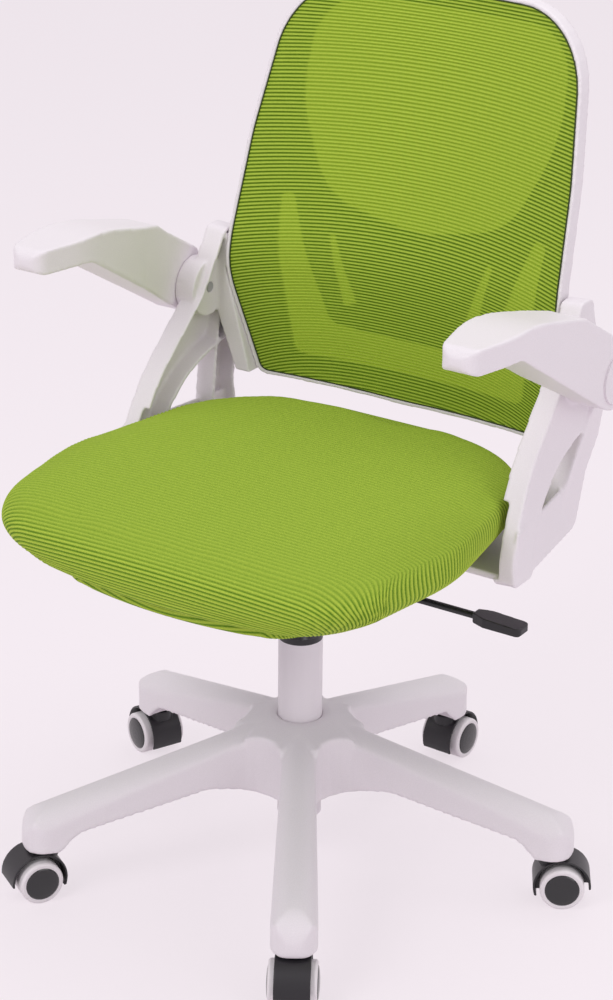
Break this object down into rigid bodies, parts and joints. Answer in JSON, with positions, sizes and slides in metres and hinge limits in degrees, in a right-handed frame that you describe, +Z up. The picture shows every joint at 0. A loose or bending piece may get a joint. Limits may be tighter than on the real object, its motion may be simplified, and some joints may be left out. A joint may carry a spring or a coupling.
{
  "type": "office chair",
  "caption": "Swivelling office chair with a meshed back, ribbed seat cushion, flip-up arms, height lever and a star base on twin-wheel casters.",
  "frame": {"origin": "on the floor, on the column's axis", "axes": "+Z up, the chair faces -Y, +X is the sitter's left"},
  "size_m": [0.6641, 0.6444, 0.961],
  "materials": {
    "white_plastic": "moulded nylon with a fine grained surface",
    "white_paint": "powder coated, satin",
    "black_plastic": "moulded, satin",
    "black_paint": "powder coated, satin",
    "steel": "zinc plated",
    "chrome_steel": "ground and plated",
    "plywood": "bare moulded plywood",
    "green_fabric": "knitted mesh with raised cross ribs",
    "white_tyre": "soft polyurethane, satin"
  },
  "bodies": {
    "base": {"star_base": "white_plastic", "hub_ring": "steel", "gas_tube": "white_paint", "tube_bush": "black_plastic", "tube_cap": "black_plastic", "thrust_bearing": "steel"},
    "rod": {"piston_rod": "steel", "rod_clip": "steel"},
    "seat": {"gas_cylinder": "chrome_steel", "seat_plate": "black_paint", "plate_bolts": "steel", "lever_pin": "steel", "seat_pan": "plywood", "seat_cushion": "green_fabric", "bracket_left": "white_plastic", "bracket_right": "white_plastic", "bracket_bolts": "steel", "back_shell": "white_plastic", "back_mesh": "green_fabric", "back_bolts": "steel", "arm_pins": "steel"},
    "valve": {"valve_button": "steel"},
    "lever": {"lever_rod": "black_paint", "lever_handle": "black_plastic"},
    "arm_left": {"arm_left": "white_plastic", "arm_left_cap": "white_plastic"},
    "arm_right": {"arm_right": "white_plastic", "arm_right_cap": "white_plastic"},
    "caster_1": {"caster_1_hood": "black_plastic", "caster_1_pins": "steel"},
    "wheel_1_left": {"caster_1_wheel_left": "black_plastic", "caster_1_tyre_left": "white_tyre"},
    "wheel_1_right": {"caster_1_wheel_right": "black_plastic", "caster_1_tyre_right": "white_tyre"},
    "caster_2": {"caster_2_hood": "black_plastic", "caster_2_pins": "steel"},
    "wheel_2_left": {"caster_2_wheel_left": "black_plastic", "caster_2_tyre_left": "white_tyre"},
    "wheel_2_right": {"caster_2_wheel_right": "black_plastic", "caster_2_tyre_right": "white_tyre"},
    "caster_3": {"caster_3_hood": "black_plastic", "caster_3_pins": "steel"},
    "wheel_3_left": {"caster_3_wheel_left": "black_plastic", "caster_3_tyre_left": "white_tyre"},
    "wheel_3_right": {"caster_3_wheel_right": "black_plastic", "caster_3_tyre_right": "white_tyre"},
    "caster_4": {"caster_4_hood": "black_plastic", "caster_4_pins": "steel"},
    "wheel_4_left": {"caster_4_wheel_left": "black_plastic", "caster_4_tyre_left": "white_tyre"},
    "wheel_4_right": {"caster_4_wheel_right": "black_plastic", "caster_4_tyre_right": "white_tyre"},
    "caster_5": {"caster_5_hood": "black_plastic", "caster_5_pins": "steel"},
    "wheel_5_left": {"caster_5_wheel_left": "black_plastic", "caster_5_tyre_left": "white_tyre"},
    "wheel_5_right": {"caster_5_wheel_right": "black_plastic", "caster_5_tyre_right": "white_tyre"}
  },
  "joints": [
    {"name": "swivel", "type": "hinge", "parent": "base", "child": "rod", "pos_m": [0, 0, 0.1], "axis": [0, 0, 1], "continuous": true},
    {"name": "lift", "type": "slide", "parent": "rod", "child": "seat", "axis": [0, 0, 1], "range_m": [-0.05, 0.05]},
    {"name": "lever_turn", "type": "hinge", "parent": "seat", "child": "lever", "pos_m": [0.03, 0, 0.3943], "axis": [0, -1, 0], "range_deg": [0, 6], "stiffness_Nm_per_rad": 1.5, "springref_deg": -8.59},
    {"name": "valve_push", "type": "slide", "parent": "seat", "child": "valve", "axis": [0, 0, 1], "range_m": [-0.0032, 0]},
    {"name": "arm_left_flip", "type": "hinge", "parent": "seat", "child": "arm_left", "pos_m": [0.285, 0.157, 0.6], "axis": [-1, 0, 0], "range_deg": [0, 90]},
    {"name": "arm_right_flip", "type": "hinge", "parent": "seat", "child": "arm_right", "pos_m": [-0.285, 0.157, 0.6], "axis": [-1, 0, 0], "range_deg": [0, 90]},
    {"name": "caster_1_swivel", "type": "hinge", "parent": "base", "child": "caster_1", "pos_m": [0.15914, -0.25077, 0.06], "axis": [0, 0, 1], "continuous": true},
    {"name": "wheel_1_left_spin", "type": "hinge", "parent": "caster_1", "child": "wheel_1_left", "pos_m": [0.16623, -0.26284, 0.025], "axis": [0.8625, 0.506, 0], "continuous": true},
    {"name": "wheel_1_right_spin", "type": "hinge", "parent": "caster_1", "child": "wheel_1_right", "pos_m": [0.16623, -0.26284, 0.025], "axis": [0.8625, 0.506, 0], "continuous": true},
    {"name": "caster_2_swivel", "type": "hinge", "parent": "base", "child": "caster_2", "pos_m": [0.28767, 0.07386, 0.06], "axis": [0, 0, 1], "continuous": true},
    {"name": "wheel_2_left_spin", "type": "hinge", "parent": "caster_2", "child": "wheel_2_left", "pos_m": [0.29974, 0.08095, 0.025], "axis": [-0.506, 0.8625, 0], "continuous": true},
    {"name": "wheel_2_right_spin", "type": "hinge", "parent": "caster_2", "child": "wheel_2_right", "pos_m": [0.29974, 0.08095, 0.025], "axis": [-0.506, 0.8625, 0], "continuous": true},
    {"name": "caster_3_swivel", "type": "hinge", "parent": "base", "child": "caster_3", "pos_m": [0.01865, 0.29641, 0.06], "axis": [0, 0, 1], "continuous": true},
    {"name": "wheel_3_left_spin", "type": "hinge", "parent": "caster_3", "child": "wheel_3_left", "pos_m": [0.01928, 0.3104, 0.025], "axis": [-0.999, 0.0454, 0], "continuous": true},
    {"name": "wheel_3_right_spin", "type": "hinge", "parent": "caster_3", "child": "wheel_3_right", "pos_m": [0.01928, 0.3104, 0.025], "axis": [-0.999, 0.0454, 0], "continuous": true},
    {"name": "caster_4_swivel", "type": "hinge", "parent": "base", "child": "caster_4", "pos_m": [-0.27614, 0.10933, 0.06], "axis": [0, 0, 1], "continuous": true},
    {"name": "wheel_4_left_spin", "type": "hinge", "parent": "caster_4", "child": "wheel_4_left", "pos_m": [-0.28887, 0.11516, 0.025], "axis": [-0.4163, -0.9092, 0], "continuous": true},
    {"name": "wheel_4_right_spin", "type": "hinge", "parent": "caster_4", "child": "wheel_4_right", "pos_m": [-0.28887, 0.11516, 0.025], "axis": [-0.4163, -0.9092, 0], "continuous": true},
    {"name": "caster_5_swivel", "type": "hinge", "parent": "base", "child": "caster_5", "pos_m": [-0.18932, -0.22884, 0.06], "axis": [0, 0, 1], "continuous": true},
    {"name": "wheel_5_left_spin", "type": "hinge", "parent": "caster_5", "child": "wheel_5_left", "pos_m": [-0.19665, -0.24077, 0.025], "axis": [0.8517, -0.524, 0], "continuous": true},
    {"name": "wheel_5_right_spin", "type": "hinge", "parent": "caster_5", "child": "wheel_5_right", "pos_m": [-0.19665, -0.24077, 0.025], "axis": [0.8517, -0.524, 0], "continuous": true}
  ],
  "couplings": [
    {"joint": "valve_push", "follows": "lever_turn", "m_per_rad": -0.03}
  ]
}
